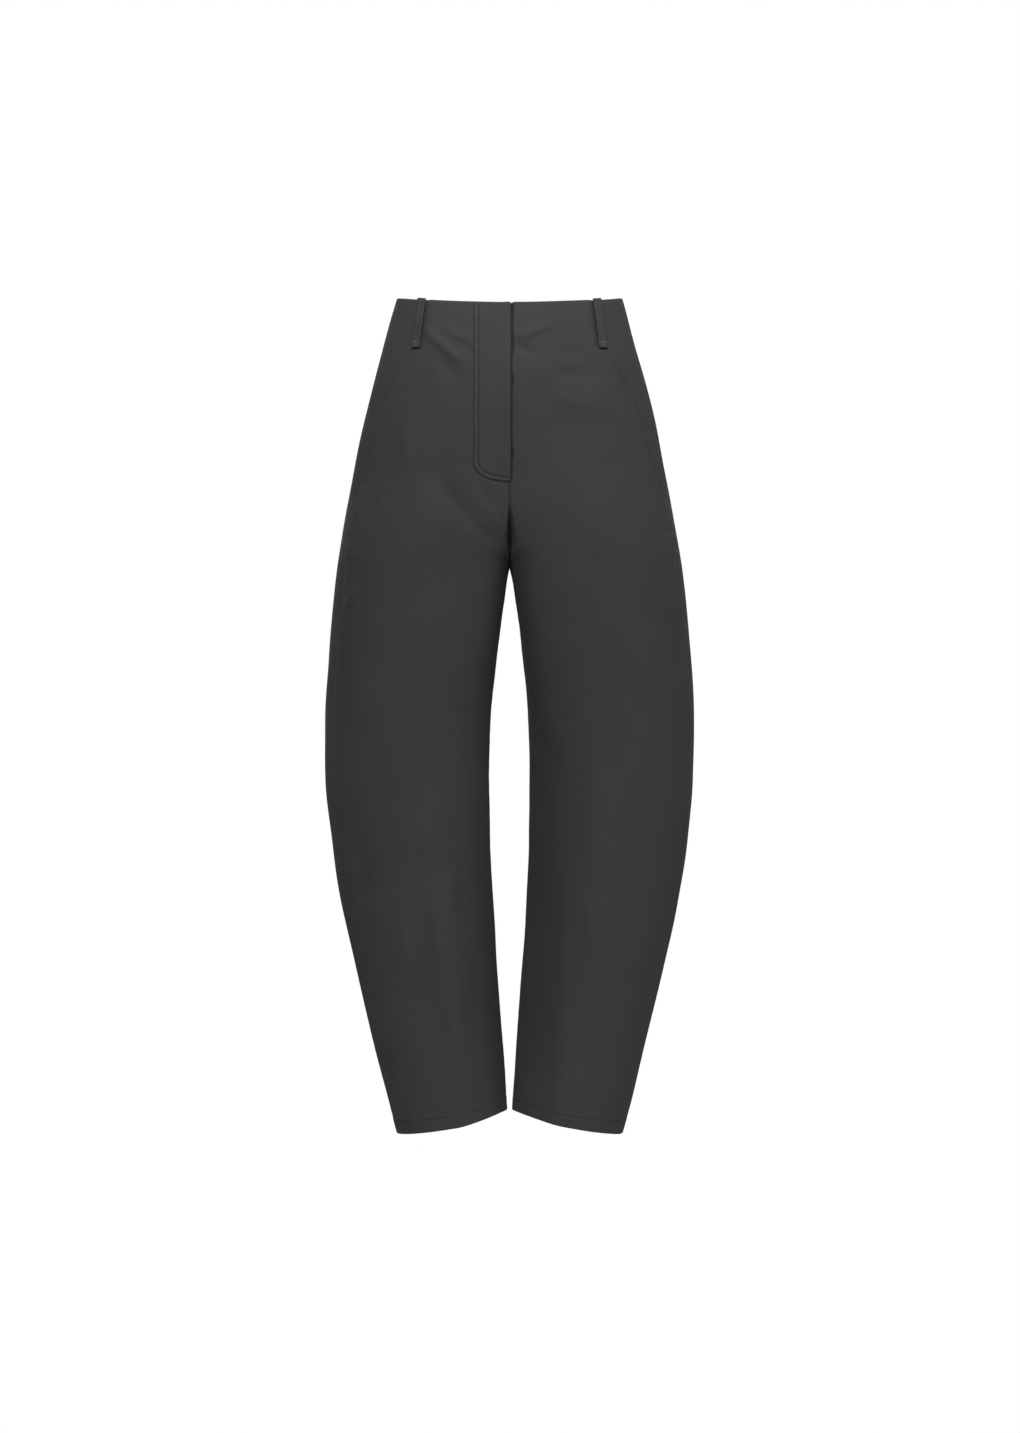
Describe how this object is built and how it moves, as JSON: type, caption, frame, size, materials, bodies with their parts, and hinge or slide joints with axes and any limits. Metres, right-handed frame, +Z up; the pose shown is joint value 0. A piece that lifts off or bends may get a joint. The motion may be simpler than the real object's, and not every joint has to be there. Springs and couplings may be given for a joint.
{
  "type": "barrel leg trousers",
  "caption": "Barrel leg trousers, filled out as when worn: a faced waist with fly and belt loops, slanted hip pockets and curved legs that narrow to the hem.",
  "frame": {"origin": "the middle of the waist opening, level with its front edge, where the wearer holds the trousers up", "axes": "+Z up, the front faces -Y, +X to the wearer's left"},
  "size_m": [0.4488, 0.248, 1.0215],
  "materials": {
    "cloth": "matt charcoal cotton twill",
    "pocketing": "plain thin pocket cloth",
    "zip": "dark woven tape with a closed chain"
  },
  "bodies": {
    "root": {"front_left": "cloth", "front_right": "cloth", "back_left": "cloth", "back_right": "cloth", "hip_piece_left": "cloth", "hip_piece_right": "cloth", "pocket_bag_left": "pocketing", "pocket_bag_right": "pocketing", "belt_loop_front_left": "cloth", "belt_loop_front_right": "cloth", "belt_loop_back_left": "cloth", "belt_loop_back_right": "cloth", "belt_loop_centre": "cloth", "fly_facing": "cloth", "fly_shield": "cloth", "zip": "zip"}
  },
  "joints": []
}
